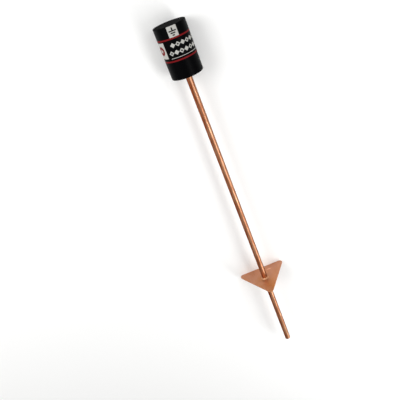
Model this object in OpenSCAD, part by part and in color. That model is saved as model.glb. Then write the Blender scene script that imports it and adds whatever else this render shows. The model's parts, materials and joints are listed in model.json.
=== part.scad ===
// Earth rod: a round copper rod with a three-cornered copper plate brazed across it, and a sealed cylindrical
// head with a printed label round it. It lies on the ground as it comes to rest: one side of the plate is flat on
// the ground, the opposite corner points up, and the head touches the ground at its edge. Lengths are millimetres.

/* [Rod] */
// Diameter of the copper rod
rod_d = 15.9; // [13:0.1:20]
// Whole length of the rod, with the end that the head hides
rod_length = 1000; // [900:5:1200]
// Length of rod that is set in the head
rod_insert = 80; // [50:1:85]
// Chamfer round both ends of the rod
rod_chamfer = 1; // [0.5:0.1:2]

/* [Plate] */
// Length of the plate's three sides, as if its corners were sharp
plate_side = 150; // [130:1:200]
// Thickness of the copper plate
plate_t = 3.2; // [2:0.1:6]
// Radius of the plate's three corners
plate_corner_r = 9; // [3:0.5:12]
// Distance from the rod's axis to the side of the plate that lies on the ground
plate_foot = 52; // [42:0.5:60]
// Distance from the head's underside to the plate
plate_distance = 655; // [500:1:700]

/* [Brazed joint] */
// Gap between the plate's hole and the rod, which the brazing metal fills
braze_gap = 0.1; // [0.05:0.05:0.2]
// Reach of each brazed fillet along the rod and across the plate
braze_leg = 4; // [2:0.5:6]

/* [Head] */
// Diameter of the sealed head, without its label
head_d = 79; // [66:1:80]
// Height of the sealed head
head_height = 122; // [90:1:150]
// Radius of the head's two edges
head_edge_r = 1; // [0.5:0.25:3]

/* [Label] */
// Thickness of the label's film
label_t = 0.2; // [0.1:0.05:0.4]
// Bare strip between the label and the round of each edge of the head
label_margin = 0.2; // [0.1:0.1:5]
// Gap where the two ends of the label meet
label_seam_w = 0.8; // [0.4:0.1:3]
// Place of that gap, in degrees round the head from the side that faces up
label_seam_turn = 150; // [20:5:160]

/* [Hidden] */
$fn = 128;

// Distances along the rod count from the head's top face, at zero, towards the tip.
rod_start = head_height - rod_insert;
rod_end = rod_start + rod_length;
plate_top = head_height + plate_distance;
plate_under = plate_top + plate_t;
label_start = head_edge_r + label_margin;
label_end = head_height - label_start;

// Radii about the rod's axis
rod_r = rod_d / 2;
hole_r = rod_r + braze_gap;
head_r = head_d / 2;
label_r = head_r + label_t;

// The plate's outline is an equilateral triangle with one corner up. Each corner is an arc of short steps.
corner_count = 3;
corner_steps = 12;
corner_angle = 360 / corner_count;
up_angle = 90;
plate_inner = plate_side / (2 * sqrt(3));
plate_outer = plate_side / sqrt(3);

// A brazed fillet's hollow is an arc. Its centre is further out than the fillet reaches, so that the metal meets
// the rod and the plate at a small angle and not in a feather edge.
hollow_share = 1.35;
hollow_out = hollow_share * braze_leg;
hollow_r = sqrt(pow(hollow_out, 2) + pow(hollow_out - braze_leg, 2));

// The rod slopes a little, because the plate holds it further from the ground than the head does.
pitch = atan((plate_foot - label_r) / (plate_top - label_start));
axis_height = label_r * cos(pitch) - label_start * sin(pitch);

// Ends of the object along the ground, which put its middle over the origin
ground_start = head_edge_r * cos(pitch) - (head_r - head_edge_r) * sin(pitch) - head_edge_r;
ground_end = rod_end * cos(pitch) + (rod_r - rod_chamfer) * sin(pitch);
ground_middle = (ground_start + ground_end) / 2;

// Puts what is drawn about +Z, with +Y up, on the rod's axis along +X, and lays it on the ground.
module lay_down() {
    translate([-ground_middle, 0, axis_height])
        rotate([0, -pitch, 0])
            rotate([90, 0, 90])
                children();
}

function from_centre(radius, turn) = [radius * cos(turn), radius * sin(turn)];

// The rod, chamfered at both ends
module rod_form() {
    rotate_extrude()
        polygon([
            [0, rod_start],
            [rod_r - rod_chamfer, rod_start],
            [rod_r, rod_start + rod_chamfer],
            [rod_r, rod_end - rod_chamfer],
            [rod_r - rod_chamfer, rod_end],
            [0, rod_end]
        ]);
}

// Outline of the plate about its own middle: arcs of points, with the straight sides between them
module plate_outline() {
    arc_out = plate_outer - 2 * plate_corner_r;
    polygon([
        for (corner = [0:corner_count - 1], step = [0:corner_steps])
            from_centre(arc_out, up_angle + corner_angle * corner)
                + from_centre(plate_corner_r, up_angle + corner_angle * (corner + step / corner_steps - 1 / 2))
    ]);
}

// Section of a brazed fillet beside the rod, where it stands on the plate's face at height zero
module fillet_section() {
    difference() {
        polygon([[rod_r, 0], [rod_r + braze_leg, 0], [rod_r, braze_leg]]);
        translate([rod_r + hollow_out, hollow_out])
            circle(r = hollow_r);
    }
}

// Section of the head: a plain cylinder with its top and bottom edges rounded
module head_section() {
    round_in = head_r - head_edge_r;
    square([round_in, head_height]);
    translate([0, head_edge_r])
        square([head_r, head_height - 2 * head_edge_r]);
    for (height = [head_edge_r, head_height - head_edge_r])
        translate([round_in, height])
            circle(r = head_edge_r);
}

module rod() {
    color("#c07a50")
        lay_down()
            rod_form();
}

// The hole lies nearer to the corner that points up than the plate's middle does.
module plate() {
    color("#bc7e5e")
        lay_down()
            translate([0, 0, plate_top])
                linear_extrude(height = plate_t)
                    difference() {
                        translate([0, plate_inner - plate_foot])
                            plate_outline();
                        circle(r = hole_r);
                    }
}

// One run of brazing metal: a fillet on each face of the plate, and the film between the rod and the hole
module braze() {
    color("#c99a6b")
        lay_down()
            rotate_extrude() {
                translate([0, plate_top])
                    mirror([0, 1])
                        fillet_section();
                translate([rod_r, plate_top])
                    square([braze_gap, plate_t]);
                translate([0, plate_under])
                    fillet_section();
            }
}

// The head is closed all round, and takes the form of the rod that is set in it.
module head_can() {
    color("#17171a")
        lay_down()
            difference() {
                rotate_extrude()
                    head_section();
                rod_form();
            }
}

// The label is a film round the head, whose two ends don't quite meet.
module head_label() {
    seam_overrun = label_t;
    color("#222226")
        lay_down()
            difference() {
                rotate_extrude()
                    translate([head_r, label_start])
                        square([label_t, label_end - label_start]);
                rotate([0, 0, label_seam_turn])
                    translate([-label_seam_w / 2, head_r / 2, label_start - seam_overrun])
                        cube([label_seam_w, head_r, label_end - label_start + 2 * seam_overrun]);
            }
}

rod();
plate();
braze();
head_can();
head_label();
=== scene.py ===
"""Dresses the packed earth rod for its picture: drawn and rolled copper, a brazed joint, and a black head
with a printed film round it, lying on a pale floor under soft light. Lengths in the settings are metres."""

import json
import math

import bmesh
import bpy
from bpy.props import FloatProperty, FloatVectorProperty, IntProperty, PointerProperty
from mathutils import Matrix, Vector


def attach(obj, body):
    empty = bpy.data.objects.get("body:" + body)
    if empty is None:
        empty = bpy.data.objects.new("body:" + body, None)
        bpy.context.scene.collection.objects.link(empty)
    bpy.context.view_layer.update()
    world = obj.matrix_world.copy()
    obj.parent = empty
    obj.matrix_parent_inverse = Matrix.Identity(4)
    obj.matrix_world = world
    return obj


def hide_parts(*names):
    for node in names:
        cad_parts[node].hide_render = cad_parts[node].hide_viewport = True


bl_info = {
    "name": "Earth Rod",
    "version": (1, 0, 0),
    "blender": (4, 5, 0),
    "location": "View3D > Sidebar > Earth Rod",
    "description": "Finishes an earth rod with a brazed plate and a labelled head",
    "category": "Object",
}

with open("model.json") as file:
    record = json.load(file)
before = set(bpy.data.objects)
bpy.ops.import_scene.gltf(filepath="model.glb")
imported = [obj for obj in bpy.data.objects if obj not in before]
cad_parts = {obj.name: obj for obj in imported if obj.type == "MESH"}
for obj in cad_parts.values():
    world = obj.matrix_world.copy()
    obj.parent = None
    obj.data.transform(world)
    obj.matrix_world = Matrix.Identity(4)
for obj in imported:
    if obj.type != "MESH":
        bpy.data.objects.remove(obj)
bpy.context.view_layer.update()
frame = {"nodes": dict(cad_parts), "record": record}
BODY = "root"
MM = 0.001


def mount(name):
    """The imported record's mount of that name."""
    return next(m for m in frame["record"]["mounts"] if m["name"] == name)


# The rod's axis, from the middle of the head's top face towards the tip
HEAD_TOP = Vector(mount("head_top")["pos_m"])
ALONG = -Vector(mount("head_top")["axis"])
ACROSS = Vector((0, 1, 0))
UP = ALONG.cross(ACROSS)
# Pieces are modelled on a bench, where the rod stands on +Z, +Y is up in the row's frame and +X is across.
BENCH = Matrix((ACROSS, UP, ALONG)).transposed().to_4x4()
BENCH.translation = HEAD_TOP
ROD_R = mount("rod_clamp_length")["dims"]["r_mm"] * MM


def bench_box(node):
    """Lowest and highest corner of a CAD node, in the bench's directions."""
    to_bench = BENCH.inverted()
    places = [to_bench @ vertex.co for vertex in frame["nodes"][node].data.vertices]
    return Vector(map(min, zip(*places))), Vector(map(max, zip(*places)))


def linear(hex_colour):
    """Linear red, green and blue of an sRGB hex colour."""
    shares = [int(hex_colour[i:i + 2], 16) / 255 for i in (1, 3, 5)]
    return [s / 12.92 if s <= 0.04045 else ((s + 0.055) / 1.055) ** 2.4 for s in shares]


def rgba(colour):
    return (*colour, 1.0)


def colour_setting(name, description, hex_colour):
    return FloatVectorProperty(name=name, description=description, subtype="COLOR", size=3,
                               min=0, max=1, default=linear(hex_colour))


def length_setting(name, description, default):
    return FloatProperty(name=name, description=description, subtype="DISTANCE", unit="LENGTH",
                         precision=5, min=0, default=default)


class CopperSettings(bpy.types.PropertyGroup):
    rod_colour: colour_setting("Rod", "Bright drawn copper of the rod", "#d5a27f")
    # This colour is also painted down one side of the rod as shade.
    rod_tarnish_and_shade: colour_setting("Rod tarnish", "Brown tarnish along the rod", "#91451f")
    plate_colour: colour_setting("Plate", "Rolled copper of the plate", "#c69073")
    plate_tarnish: colour_setting("Plate tarnish", "Browner copper of the plate", "#c07f48")
    # Colour of a pale mark on the plate beside the rod.
    pale_mark_colour: colour_setting("Rub mark", "Copper that something has rubbed bright", "#ecb899")
    # Painted shade: the copper's reflection at small angles is tinted near black, which darkens the rod's
    # outline.
    edge_shade_tint: colour_setting("Edge tint", "Copper seen at a small angle, through its tarnish", "#331608")
    heat_colour: colour_setting("Heat tint", "Copper that the brazing flame has coloured", "#925b38")
    braze_colour: colour_setting("Brazing metal", "Brazing metal round the joint", "#d6a27c")
    heat_reach: length_setting("Heat reach", "How far the heat tint reaches from the rod", 0.022)
    plate_arris: length_setting("Plate arris", "Width of the broken edge round the plate", 0.0004)
    ripple: length_setting("Braze ripple", "Height of the ripples on the brazed fillets", 0.00015)
    ripple_count: IntProperty(name="Ripples", description="Ripples round each brazed fillet",
                              min=3, default=9)


class HeadSettings(bpy.types.PropertyGroup):
    case_colour: colour_setting("Case", "Black plastic of the head", "#0e0e0f")
    black_ink: colour_setting("Black ink", "Ground of the label", "#030304")
    white_ink: colour_setting("White ink", "White fields of the label", "#b6b5b0")
    red_ink: colour_setting("Red ink", "Red rings and disc of the label", "#75171a")
    film_strips: IntProperty(name="Film strips", description="Strips that the film is bent in",
                             min=60, default=240)
    seam_turn: FloatProperty(name="Seam", description="Place of the film's seam, from the side that faces up",
                             subtype="ANGLE", unit="ROTATION", default=math.radians(-150))
    seam_gap: length_setting("Seam gap", "Gap where the film's two ends meet", 0.0008)


class StudioSettings(bpy.types.PropertyGroup):
    camera_place: FloatVectorProperty(name="Camera place", description="Where the camera stands",
                                      subtype="TRANSLATION", unit="LENGTH", size=3,
                                      default=(-0.68889, -0.04711, 1.19562))
    camera_turn: FloatVectorProperty(name="Camera turn", description="How the camera is turned",
                                     subtype="EULER", unit="ROTATION", size=3,
                                     default=[math.radians(turn) for turn in (-27.1975, -9.8657, 70.3525)])
    camera_lens: FloatProperty(name="Lens", description="Focal length, in millimetres", default=43.3)
    camera_shift: FloatProperty(name="Shift", description="Sideways shift of the picture", default=-0.0298)
    floor_colour: colour_setting("Floor", "Pale floor", "#f8f8f7")
    world_light: FloatProperty(name="World light", description="Strength of the even light from all round",
                               default=0.48)


def material(name):
    """A new node material and its shader."""
    made = bpy.data.materials.new(name)
    made.use_nodes = True
    return made, made.node_tree.nodes["Principled BSDF"]


def add(tree, kind, settings=None, links=None):
    """Adds a node, gives its properties and inputs their values, and links its inputs to outputs."""
    made = tree.nodes.new(kind)
    for name, value in (settings or {}).items():
        if isinstance(name, int) or name in made.inputs:
            made.inputs[name].default_value = value
        else:
            setattr(made, name, value)
    for name, output in (links or {}).items():
        tree.links.new(output, made.inputs[name])
    return made


def set_shader(shader, **values):
    """Sets the shader's sockets, named with _ for each space."""
    for name, value in values.items():
        shader.inputs[name.replace("_", " ")].default_value = value


def bench_coordinates(tree, lengths):
    """Object coordinates on the bench, with each direction divided by its own real length of pattern."""
    where = add(tree, "ShaderNodeTexCoord")
    turned = BENCH.inverted()
    on_bench = add(tree, "ShaderNodeMapping",
                   {"Location": turned.translation, "Rotation": turned.to_euler("XYZ")},
                   {"Vector": where.outputs["Object"]})
    divided = add(tree, "ShaderNodeVectorMath", {"operation": "DIVIDE", 1: lengths},
                  {0: on_bench.outputs["Vector"]})
    return divided.outputs["Vector"]


def noise(tree, lengths, detail, roughness=0.5):
    """Noise whose features have the real lengths given: across the rod, up, and along it."""
    made = add(tree, "ShaderNodeTexNoise", {"Scale": 1, "Detail": detail, "Roughness": roughness},
               {"Vector": bench_coordinates(tree, lengths)})
    return made.outputs["Fac"]


def remap(tree, value, source, target):
    """Maps one range of a value onto another, and holds it at the ends."""
    made = add(tree, "ShaderNodeMapRange",
               {"From Min": source[0], "From Max": source[1], "To Min": target[0], "To Max": target[1]},
               {"Value": value})
    return made.outputs["Result"]


def blend_colours(tree, factor, stops):
    """A colour ramp over a factor, between two stops of (place, colour)."""
    ramp = add(tree, "ShaderNodeValToRGB", links={"Fac": factor})
    for point, (place, colour) in zip(ramp.color_ramp.elements, stops):
        point.position = place
        point.color = rgba(colour)
    return ramp.outputs["Color"]


def lay_over(tree, share, below, colour):
    """Lays a flat colour over what is below, by a share."""
    first, second, mixed = 6, 7, 2
    made = add(tree, "ShaderNodeMix", {"data_type": "RGBA", second: rgba(colour)}, {0: share, first: below})
    return made.outputs[mixed]


def relief(tree, shader, height, strength, depth):
    """Gives the shader a fine relief, with bumps of a real depth."""
    made = add(tree, "ShaderNodeBump", {"Strength": strength, "Distance": depth}, {"Height": height})
    tree.links.new(made.outputs["Normal"], shader.inputs["Normal"])


def copper_bar():
    """Drawn copper bar: bright, with fine scratches along it from the die, brown tarnish in streaks, and
    painted shade down one side.
    """
    look = bpy.context.scene.earth_copper
    made, shader = material("drawn_copper_bar")
    tree = made.node_tree
    # Die scratches are 0.05 mm wide in fact. They are drawn ten times as coarse, so that they show.
    scratches = noise(tree, (0.5 * MM, 0.5 * MM, 90 * MM), detail=3, roughness=0.6)
    # Tarnish lies in patches about 6 mm wide and 45 mm long.
    tarnish = noise(tree, (6 * MM, 6 * MM, 45 * MM), detail=4, roughness=0.55)
    streaked = add(tree, "ShaderNodeMath", {"operation": "MULTIPLY_ADD", 1: 0.35}, {0: scratches, 2: tarnish})
    # Painted shade: the bar's side towards -Y is made browner, standing in for the shade that falls on that
    # side, and is added to the tarnish. Places across it are shares of its radius.
    place = add(tree, "ShaderNodeSeparateXYZ", links={0: bench_coordinates(tree, (ROD_R, ROD_R, ROD_R))})
    painted_shade_side = remap(tree, place.outputs["X"], (0, -0.8), (0, 0.25))
    tarnish_and_painted_shade = add(tree, "ShaderNodeMath", {"operation": "ADD"}, {0: streaked.outputs[0], 1: painted_shade_side})
    colour = blend_colours(tree, tarnish_and_painted_shade.outputs[0], [(0.5, look.rod_colour), (1.0, look.rod_tarnish_and_shade)])
    tree.links.new(colour, shader.inputs["Base Color"])
    tree.links.new(remap(tree, streaked.outputs[0], (0.3, 0.7), (0.24, 0.38)), shader.inputs["Roughness"])
    relief(tree, shader, scratches, strength=0.25, depth=0.05 * MM)
    # The edge tint paints shade along the rod's outline.
    set_shader(shader, Metallic=1.0, Anisotropic=0.4, Specular_Tint=rgba(look.edge_shade_tint))
    return made


def copper_sheet():
    """Rolled copper sheet: satin, faintly lined by the rolls, browned in patches and tinted by the flame."""
    look = bpy.context.scene.earth_copper
    made, shader = material("rolled_copper_sheet")
    tree = made.node_tree
    # The plate has browned in patches of about 28 mm, and more towards the corner that points up.
    patches = noise(tree, (28 * MM, 28 * MM, 28 * MM), detail=5, roughness=0.55)
    place_mm = add(tree, "ShaderNodeSeparateXYZ", links={0: bench_coordinates(tree, (MM, MM, MM))})
    higher = remap(tree, place_mm.outputs["Y"], (-50, 85), (0, 0.45))
    browned = add(tree, "ShaderNodeMath", {"operation": "ADD"}, {0: patches, 1: higher})
    colour = blend_colours(tree, browned.outputs[0], [(0.5, look.plate_colour), (1.0, look.plate_tarnish)])
    # The heat tint fades out from the rod's axis, with an uneven edge.
    out = bench_coordinates(tree, (look.heat_reach, look.heat_reach, 1))
    flat = add(tree, "ShaderNodeVectorMath", {"operation": "MULTIPLY", 1: (1, 1, 0)}, {0: out})
    reach = add(tree, "ShaderNodeVectorMath", {"operation": "LENGTH"}, {0: flat.outputs[0]})
    uneven = add(tree, "ShaderNodeMath", {"operation": "MULTIPLY_ADD", 1: 0.8},
                 {0: patches, 2: reach.outputs["Value"]})
    heat = remap(tree, uneven.outputs[0], (0.8, 1.6), (0.35, 0))
    tinted = lay_over(tree, heat, colour, look.heat_colour)
    # A pale mark beside the rod, on the face towards the head.
    pale_mark_middle = (22 * MM, -32 * MM, bench_box("plate")[0].z)
    pale_mark_half = (9 * MM, 3.2 * MM, 1 * MM)
    pale_mark_share = [middle / half for middle, half in zip(pale_mark_middle, pale_mark_half)]
    from_pale_mark = add(tree, "ShaderNodeVectorMath", {"operation": "DISTANCE", 1: pale_mark_share},
                   {0: bench_coordinates(tree, pale_mark_half)})
    pale_mark = remap(tree, from_pale_mark.outputs["Value"], (1.1, 0.5), (0, 0.8))
    with_pale_mark = lay_over(tree, pale_mark, tinted, look.pale_mark_colour)
    tree.links.new(with_pale_mark, shader.inputs["Base Color"])
    # Roll lines are 0.1 mm wide in fact, and are drawn at 0.8 mm so that they show.
    rolled = noise(tree, (0.8 * MM, 60 * MM, 0.8 * MM), detail=3)
    tree.links.new(remap(tree, rolled, (0.3, 0.7), (0.42, 0.56)), shader.inputs["Roughness"])
    relief(tree, shader, rolled, strength=0.15, depth=0.06 * MM)
    set_shader(shader, Metallic=1.0)
    return made


def brazing_metal():
    """Copper brazing alloy: run out smooth, a little yellower than copper, and dulled in spots by flux."""
    look = bpy.context.scene.earth_copper
    made, shader = material("brazing_alloy")
    tree = made.node_tree
    # Flux leaves spots about 1.6 mm across.
    flux = noise(tree, (1.6 * MM, 1.6 * MM, 1.6 * MM), detail=4, roughness=0.6)
    colour = blend_colours(tree, flux, [(0.45, look.braze_colour), (0.75, look.heat_colour)])
    tree.links.new(colour, shader.inputs["Base Color"])
    tree.links.new(remap(tree, flux, (0.35, 0.7), (0.38, 0.6)), shader.inputs["Roughness"])
    relief(tree, shader, flux, strength=0.2, depth=0.1 * MM)
    set_shader(shader, Metallic=1.0)
    return made


def moulded_plastic():
    """Moulded black ABS: between satin and matte, with the fine grain of a spark-eroded mould."""
    look = bpy.context.scene.earth_head
    made, shader = material("moulded_abs")
    tree = made.node_tree
    # The mould's grain is 0.1 mm in fact, and is drawn at 0.35 mm so that it shows.
    grain = noise(tree, (0.35 * MM, 0.35 * MM, 0.35 * MM), detail=2)
    tree.links.new(remap(tree, grain, (0.3, 0.7), (0.75, 0.9)), shader.inputs["Roughness"])
    # Handling leaves faintly paler patches, about 15 mm across.
    handled = noise(tree, (15 * MM, 15 * MM, 15 * MM), detail=3)
    paler = [1.35 * share for share in look.case_colour]
    colour = blend_colours(tree, handled, [(0.4, look.case_colour), (0.7, paler)])
    tree.links.new(colour, shader.inputs["Base Color"])
    relief(tree, shader, grain, strength=0.3, depth=0.05 * MM)
    set_shader(shader, IOR=1.53, Specular_IOR_Level=0.015)
    return made


def printed_ink(name, colour):
    """Screen ink on a semi-gloss film: an even colour, thinner here and there, under faint orange peel."""
    made, shader = material(name)
    tree = made.node_tree
    # Ink lies unevenly over about 3 mm.
    lay = noise(tree, (3 * MM, 3 * MM, 3 * MM), detail=4)
    thinner = [0.86 * share for share in colour]
    laid = blend_colours(tree, lay, [(0.35, colour), (0.75, thinner)])
    tree.links.new(laid, shader.inputs["Base Color"])
    tree.links.new(remap(tree, lay, (0.3, 0.7), (0.34, 0.42)), shader.inputs["Roughness"])
    # Orange peel has waves of about 1.2 mm.
    peel = noise(tree, (1.2 * MM, 1.2 * MM, 1.2 * MM), detail=1)
    relief(tree, shader, peel, strength=0.08, depth=0.05 * MM)
    set_shader(shader, IOR=1.5, Specular_IOR_Level=0.03)
    return made


def studio_floor():
    """Painted board: pale, matte and plain."""
    made, shader = material("painted_board")
    set_shader(shader, Base_Color=rgba(bpy.context.scene.earth_studio.floor_colour), Roughness=0.8)
    return made


def start_piece(name):
    """Leaves the last primitive alone in edit mode, under its piece's name."""
    piece = bpy.context.active_object
    piece.name = piece.data.name = name
    bpy.ops.object.mode_set(mode="EDIT")
    return piece


def select_where(piece, kind, test):
    """Selects only the vertices, edges or faces that pass the test."""
    shape = bmesh.from_edit_mesh(piece.data)
    for part in (*shape.verts, *shape.edges, *shape.faces):
        part.select = False
    for part in getattr(shape, kind):
        if test(part):
            part.select_set(True)
    bmesh.update_edit_mesh(piece.data)


def finish_piece(piece, node, surface):
    """Brings a bench piece to its place in the row's frame, in place of its CAD node."""
    bpy.ops.object.mode_set(mode="OBJECT")
    piece.data.transform(BENCH @ piece.matrix_basis)
    piece.matrix_basis = Matrix()
    if not piece.data.materials:
        piece.data.materials.append(surface)
    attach(piece, BODY)
    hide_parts(node)


def dress_node(node, surface):
    """Gives a CAD node its material, and leaves its shape alone."""
    kept = frame["nodes"][node]
    kept.data.materials.clear()
    kept.data.materials.append(surface)


def deselect():
    for thing in bpy.context.selected_objects:
        thing.select_set(False)
    bpy.context.view_layer.objects.active = None


class EARTHROD_OT_rod(bpy.types.Operator):
    """Finish the rod as drawn copper bar"""
    bl_idname = "earthrod.rod"
    bl_label = "Finish Rod"

    def execute(self, context):
        dress_node("rod", copper_bar())
        return {"FINISHED"}


class EARTHROD_OT_plate(bpy.types.Operator):
    """Model the rounded triangular plate, with its hole and broken edges"""
    bl_idname = "earthrod.plate"
    bl_label = "Model Plate"

    def execute(self, context):
        look = context.scene.earth_copper
        corner_steps, hole_sides, arris_steps = 14, 96, 3
        arris_angle, smooth_angle = math.radians(60), math.radians(40)
        low, high = bench_box("plate")
        thickness = high.z - low.z
        width, height = high.x - low.x, high.y - low.y
        # A rounded triangle's box gives the radius of its corners, and then its side as if they were sharp.
        corner_r = (height - width * math.sqrt(3) / 2) / (2 - math.sqrt(3))
        side = width + 2 * corner_r * (math.sqrt(3) - 1)
        middle = Vector((0, low.y + side / (2 * math.sqrt(3)), low.z))
        deselect()
        bpy.ops.mesh.primitive_circle_add(vertices=3, radius=side / math.sqrt(3), fill_type="NOTHING",
                                          location=(0, 0, 0))
        plate = start_piece("triangular_plate")
        # The circle's first corner lies on +Y.
        bpy.ops.mesh.select_all(action="SELECT")
        bpy.ops.transform.translate(value=middle)
        # Bevel stretches its arc to the corner, and at 60 degrees this profile makes it round again.
        round_profile = (2 / 3) ** 2
        bpy.ops.mesh.bevel(affect="VERTICES", offset=corner_r * math.sqrt(3), segments=corner_steps,
                           profile=round_profile)
        bpy.ops.mesh.primitive_circle_add(vertices=hole_sides, radius=ROD_R, fill_type="NOTHING",
                                          location=(0, 0, low.z))
        bpy.ops.mesh.select_all(action="SELECT")
        bpy.ops.mesh.fill()
        bpy.ops.mesh.select_all(action="SELECT")
        bpy.ops.mesh.extrude_region_move(TRANSFORM_OT_translate={"value": (0, 0, thickness)})
        bpy.ops.mesh.select_all(action="SELECT")
        bpy.ops.mesh.normals_make_consistent(inside=False)
        select_where(plate, "edges", lambda edge: edge.calc_face_angle(0) > arris_angle)
        bpy.ops.mesh.bevel(affect="EDGES", offset=look.plate_arris, segments=arris_steps)
        finish_piece(plate, "plate", copper_sheet())
        deselect()
        plate.select_set(True)
        context.view_layer.objects.active = plate
        bpy.ops.object.shade_smooth_by_angle(angle=smooth_angle)
        # The large faces keep their own normals up to the broken edges.
        weigh = plate.modifiers.new("Face weight", "WEIGHTED_NORMAL")
        weigh.keep_sharp = True
        bpy.ops.object.modifier_apply(modifier=weigh.name)
        return {"FINISHED"}


class EARTHROD_OT_braze(bpy.types.Operator):
    """Model the run of brazing metal: a rippled fillet on each face of the plate"""
    bl_idname = "earthrod.braze"
    bl_label = "Model Brazed Joint"

    def execute(self, context):
        look = context.scene.earth_copper
        low, high = bench_box("braze")
        plate_low, plate_high = bench_box("plate")
        reach = high.x - ROD_R
        ring_sides, steps = 144, 8
        deselect()
        bpy.ops.mesh.primitive_circle_add(vertices=ring_sides, radius=ROD_R, fill_type="NOTHING",
                                          location=(0, 0, 0))
        braze = start_piece("brazed_joint")
        bpy.ops.mesh.select_all(action="SELECT")
        bpy.ops.transform.translate(value=(0, 0, low.z))
        # Rings from the fillet's edge on the rod out to its foot on the plate, then on to the other face
        sweep = [math.radians(90) * step / steps for step in range(1, steps + 1)]
        profile = [(reach * (1 - math.cos(turn)), plate_low.z - reach * (1 - math.sin(turn)))
                   for turn in sweep]
        other = [(out, plate_high.z + (plate_low.z - along)) for out, along in reversed(profile)]
        last_r, last_z = ROD_R, low.z
        for out, along in profile + other + [(0, high.z)]:
            radius = ROD_R + out
            bpy.ops.mesh.extrude_region_move(TRANSFORM_OT_translate={"value": (0, 0, along - last_z)})
            grow = radius / last_r
            bpy.ops.transform.resize(value=(grow, grow, 1))
            last_r, last_z = radius, along
        select_where(braze, "edges", lambda edge: edge.is_boundary)
        bpy.ops.mesh.bridge_edge_loops()
        bpy.ops.mesh.select_all(action="SELECT")
        bpy.ops.mesh.normals_make_consistent(inside=False)
        # A second, weaker wave keeps the ripples from looking even. They die out at a fillet's edges.
        more_ripples, weaker, shifted = 4, 0.6, 1.3
        shape = bmesh.from_edit_mesh(braze.data)
        for vertex in shape.verts:
            out = Vector((vertex.co.x, vertex.co.y, 0))
            height = out.length - ROD_R
            turn = math.atan2(out.y, out.x)
            second = math.sin((look.ripple_count + more_ripples) * turn + shifted)
            swell = math.sin(look.ripple_count * turn) + weaker * second
            share = height * (reach - height) / (reach / 2) ** 2
            side = 1 if vertex.co.z > (low.z + high.z) / 2 else -1
            vertex.co += share * swell * look.ripple * (out.normalized() + Vector((0, 0, side)))
        bmesh.update_edit_mesh(braze.data)
        finish_piece(braze, "braze", brazing_metal())
        braze.data.shade_smooth()
        return {"FINISHED"}


class EARTHROD_OT_head(bpy.types.Operator):
    """Finish the head's case as moulded plastic"""
    bl_idname = "earthrod.head"
    bl_label = "Finish Head"

    def execute(self, context):
        dress_node("head_can", moulded_plastic())
        return {"FINISHED"}


def bar(left, right, top, bottom):
    """Outline of an upright bar on the flat film."""
    return [Vector((left, top)), Vector((left, bottom)), Vector((right, bottom)), Vector((right, top))]


def lozenge(middle, half_width, half_height):
    """Outline of a lozenge on the flat film."""
    across, down = Vector((half_width, 0)), Vector((0, half_height))
    return [middle - across, middle + down, middle + across, middle - down]


def disc(middle, radius, sides=32):
    """Outline of a disc on the flat film."""
    turns = [-2 * math.pi * side / sides for side in range(sides)]
    return [middle + radius * Vector((math.cos(turn), math.sin(turn))) for turn in turns]


def label_fields(length):
    """The label's fields as (ink, outline), in the order of printing. Places on the flat film are the
    distance round it from the side that faces up, and the distance from the head's top."""
    black, white, red = range(3)
    fields = []
    # Two red rings all round and, between them, a thin white line
    ring_deep = 3.4 * MM
    for top in (25.8 * MM, 75.2 * MM):
        fields.append((red, bar(-length, length, top, top + ring_deep)))
    fields.append((white, bar(-25 * MM, 68 * MM, 69.8 * MM, 70.9 * MM)))
    # A white field at the top, with the common sign for earth in black: a stem and three bars
    fields.append((white, bar(-11.4 * MM, 11.6 * MM, 0, 25.6 * MM)))
    stem_top, stem_half = 4.6 * MM, 1.5 * MM
    first_bar, bar_pitch, bar_deep = 11 * MM, 4.6 * MM, 2.7 * MM
    fields.append((black, bar(-stem_half, stem_half, stem_top, first_bar)))
    for row, bar_half in enumerate((8.8 * MM, 5.8 * MM, 2.8 * MM)):
        top = first_bar + row * bar_pitch
        fields.append((black, bar(-bar_half, bar_half, top, top + bar_deep)))
    # Two rows of lozenges, every other one with an open middle
    first_row, row_pitch, pitch = 42.2 * MM, 16.8 * MM, 12.4 * MM
    for row, (first, count) in enumerate(((-10.9 * MM, 7), (-19.6 * MM, 8))):
        for place in range(count):
            middle = Vector((first + place * pitch, first_row + row * row_pitch))
            fields.append((white, lozenge(middle, 6.1 * MM, 5.6 * MM)))
            if (place + row) % 2:
                fields.append((black, lozenge(middle, 2.7 * MM, 2.5 * MM)))
    # A white panel at the side, with a red disc round a white lozenge
    fields.append((white, bar(-82 * MM, -32.8 * MM, 31.6 * MM, 68.8 * MM)))
    disc_middle = Vector((-48 * MM, 50.2 * MM))
    fields.append((red, disc(disc_middle, 10.5 * MM)))
    fields.append((white, lozenge(disc_middle, 5.2 * MM, 5.2 * MM)))
    return fields


def stamp(film, outline, ink):
    """Cuts a convex outline into the flat film, and gives the faces inside it an ink."""
    same_place = 0.001 * MM
    low = [min(point[i] for point in outline) for i in (0, 1)]
    high = [max(point[i] for point in outline) for i in (0, 1)]

    def near(face):
        """Whether the face's box reaches into the outline's box."""
        places = [vertex.co for vertex in face.verts]
        return all(min(place[i] for place in places) < high[i]
                   and max(place[i] for place in places) > low[i] for i in (0, 1))

    sides = list(zip(outline, outline[1:] + outline[:1]))
    sides.sort(key=lambda side: abs(side[1].y - side[0].y))
    for start, end in sides:
        select_where(film, "faces", near)
        normal = (end - start).orthogonal().normalized()
        bpy.ops.mesh.bisect(plane_co=(*start, 0), plane_no=(*normal, 0), threshold=same_place)
    shape = bmesh.from_edit_mesh(film.data)
    for face in shape.faces:
        middle = face.calc_center_median().to_2d()
        if all((end - start).cross(middle - start) < 0 for start, end in sides):
            face.material_index = ink
    bmesh.update_edit_mesh(film.data)


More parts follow.
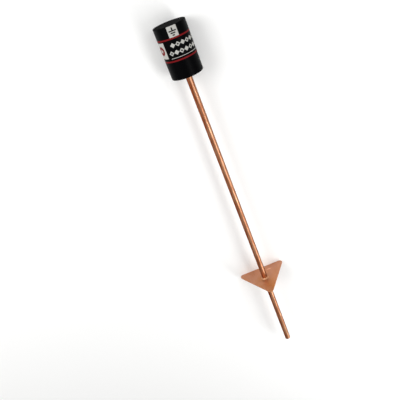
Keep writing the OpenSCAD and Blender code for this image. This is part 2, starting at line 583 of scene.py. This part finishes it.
class EARTHROD_OT_label(bpy.types.Operator):
    """Print the film flat, give it its thickness and wrap it round the head"""
    bl_idname = "earthrod.label"
    bl_label = "Model Label"

    def execute(self, context):
        look = context.scene.earth_head
        low, high = bench_box("head_label")
        case_high = bench_box("head_can")[1]
        film_r = high.x
        film_t = film_r - case_high.x
        start = look.seam_turn * film_r + look.seam_gap / 2
        length = 2 * math.pi * film_r - look.seam_gap
        deselect()
        bpy.ops.mesh.primitive_grid_add(x_subdivisions=look.film_strips, y_subdivisions=1, size=1)
        film = start_piece("printed_label")
        bpy.ops.mesh.select_all(action="SELECT")
        bpy.ops.transform.resize(value=(length, high.z - low.z, 1))
        bpy.ops.transform.translate(value=(start + length / 2, (low.z + high.z) / 2, 0))
        for ink in ("black_ink", "white_ink", "red_ink"):
            film.data.materials.append(printed_ink(ink, getattr(look, ink)))
        for ink, outline in label_fields(length):
            stamp(film, outline, ink)
        bpy.ops.object.mode_set(mode="OBJECT")
        thicken = film.modifiers.new("Film", "SOLIDIFY")
        thicken.thickness = film_t
        thicken.offset = -1
        bpy.ops.object.modifier_apply(modifier=thicken.name)
        # The flat film's upper face becomes the outside of the roll.
        for vertex in film.data.vertices:
            turn, along, radius = vertex.co.x / film_r, vertex.co.y, film_r + vertex.co.z
            vertex.co = (radius * math.sin(turn), radius * math.cos(turn), along)
        bpy.ops.object.mode_set(mode="EDIT")
        bpy.ops.mesh.select_all(action="SELECT")
        bpy.ops.mesh.normals_make_consistent(inside=False)
        finish_piece(film, "head_label", None)
        film.data.shade_smooth()
        round_normals(film)
        return {"FINISHED"}


def round_normals(film):
    """Gives the film's round faces the normals of a true cylinder, so that its cuts don't show."""
    # The cosine of the angle at which a face still counts as one of the round ones
    round_from = 0.9
    mesh = film.data
    normals = []
    for face in mesh.polygons:
        out = face.center - HEAD_TOP
        out -= out.dot(ALONG) * ALONG
        facing = face.normal.dot(out.normalized())
        for index in face.vertices:
            place = mesh.vertices[index].co - HEAD_TOP
            place -= place.dot(ALONG) * ALONG
            if abs(facing) > round_from:
                normals.append(math.copysign(1, facing) * place.normalized())
            else:
                normals.append(face.normal.copy())
    mesh.normals_split_custom_set(normals)


class EARTHROD_OT_stage(bpy.types.Operator):
    """Set up the floor, the soft lights and the camera"""
    bl_idname = "earthrod.stage"
    bl_label = "Set Up Studio"

    def execute(self, context):
        look = context.scene.earth_studio
        scene = context.scene
        deselect()
        # Places and lengths of the stage are metres.
        floor_side = 12
        bpy.ops.mesh.primitive_plane_add(size=floor_side)
        floor = context.active_object
        floor.name = "floor"
        floor.data.materials.append(studio_floor())
        world = bpy.data.worlds.new("even_light")
        world.use_nodes = True
        background = world.node_tree.nodes["Background"]
        background.inputs["Color"].default_value = (1, 1, 1, 1)
        background.inputs["Strength"].default_value = look.world_light
        scene.world = world
        # All softboxes face one point, near the rod's middle.
        point_lit = Vector((0.1, 0, 0.03))
        # Softboxes: name, place, direction of the long side, length and width, power in watts
        for name, place, along, size, power in (
                ("right_softbox", (0.53, 0.8, 1.0), (1, 0.45, 0), (2.2, 0.4), 13.6),
                ("left_softbox", (-1.2, -1.5, 1.5), (0, 1, 0), (1.3, 1.3), 31),
                ("front_softbox", (-1.2, 1.0, 1.6), (0, 1, 0), (1.0, 0.9), 4)):
            light = bpy.data.lights.new(name, "AREA")
            light.shape = "RECTANGLE"
            light.size, light.size_y = size
            light.energy = power
            lamp = bpy.data.objects.new(name, light)
            scene.collection.objects.link(lamp)
            lamp.location = place
            back = (lamp.location - point_lit).normalized()
            side = back.cross(Vector(along)).normalized()
            lamp.rotation_euler = Matrix((side.cross(back), side, back)).transposed().to_euler()
        camera_data = bpy.data.cameras.new("camera")
        camera_data.lens = look.camera_lens
        camera_data.shift_x = look.camera_shift
        camera = bpy.data.objects.new("camera", camera_data)
        scene.collection.objects.link(camera)
        camera.location = look.camera_place
        camera.rotation_euler = look.camera_turn
        scene.camera = camera
        scene.view_settings.view_transform = "Standard"
        return {"FINISHED"}


class EARTHROD_PT_panel(bpy.types.Panel):
    """Lists the operators that finish the earth rod"""
    bl_label = "Earth Rod"
    bl_idname = "EARTHROD_PT_panel"
    bl_space_type = "VIEW_3D"
    bl_region_type = "UI"
    bl_category = "Earth Rod"

    def draw(self, context):
        for operator in OPERATORS:
            self.layout.operator(operator.bl_idname)


SETTINGS = {"earth_copper": CopperSettings, "earth_head": HeadSettings, "earth_studio": StudioSettings}
OPERATORS = (EARTHROD_OT_stage, EARTHROD_OT_rod, EARTHROD_OT_plate, EARTHROD_OT_braze, EARTHROD_OT_head,
             EARTHROD_OT_label)


def register():
    for name, group in SETTINGS.items():
        bpy.utils.register_class(group)
        setattr(bpy.types.Scene, name, PointerProperty(type=group))
    for operator in OPERATORS:
        bpy.utils.register_class(operator)
    bpy.utils.register_class(EARTHROD_PT_panel)


def unregister():
    bpy.utils.unregister_class(EARTHROD_PT_panel)
    for operator in reversed(OPERATORS):
        bpy.utils.unregister_class(operator)
    for name, group in reversed(SETTINGS.items()):
        delattr(bpy.types.Scene, name)
        bpy.utils.unregister_class(group)


def main():
    register()
    bpy.ops.earthrod.stage()
    bpy.ops.earthrod.rod()
    bpy.ops.earthrod.plate()
    bpy.ops.earthrod.braze()
    bpy.ops.earthrod.head()
    bpy.ops.earthrod.label()


if __name__ == "__main__":
    main()
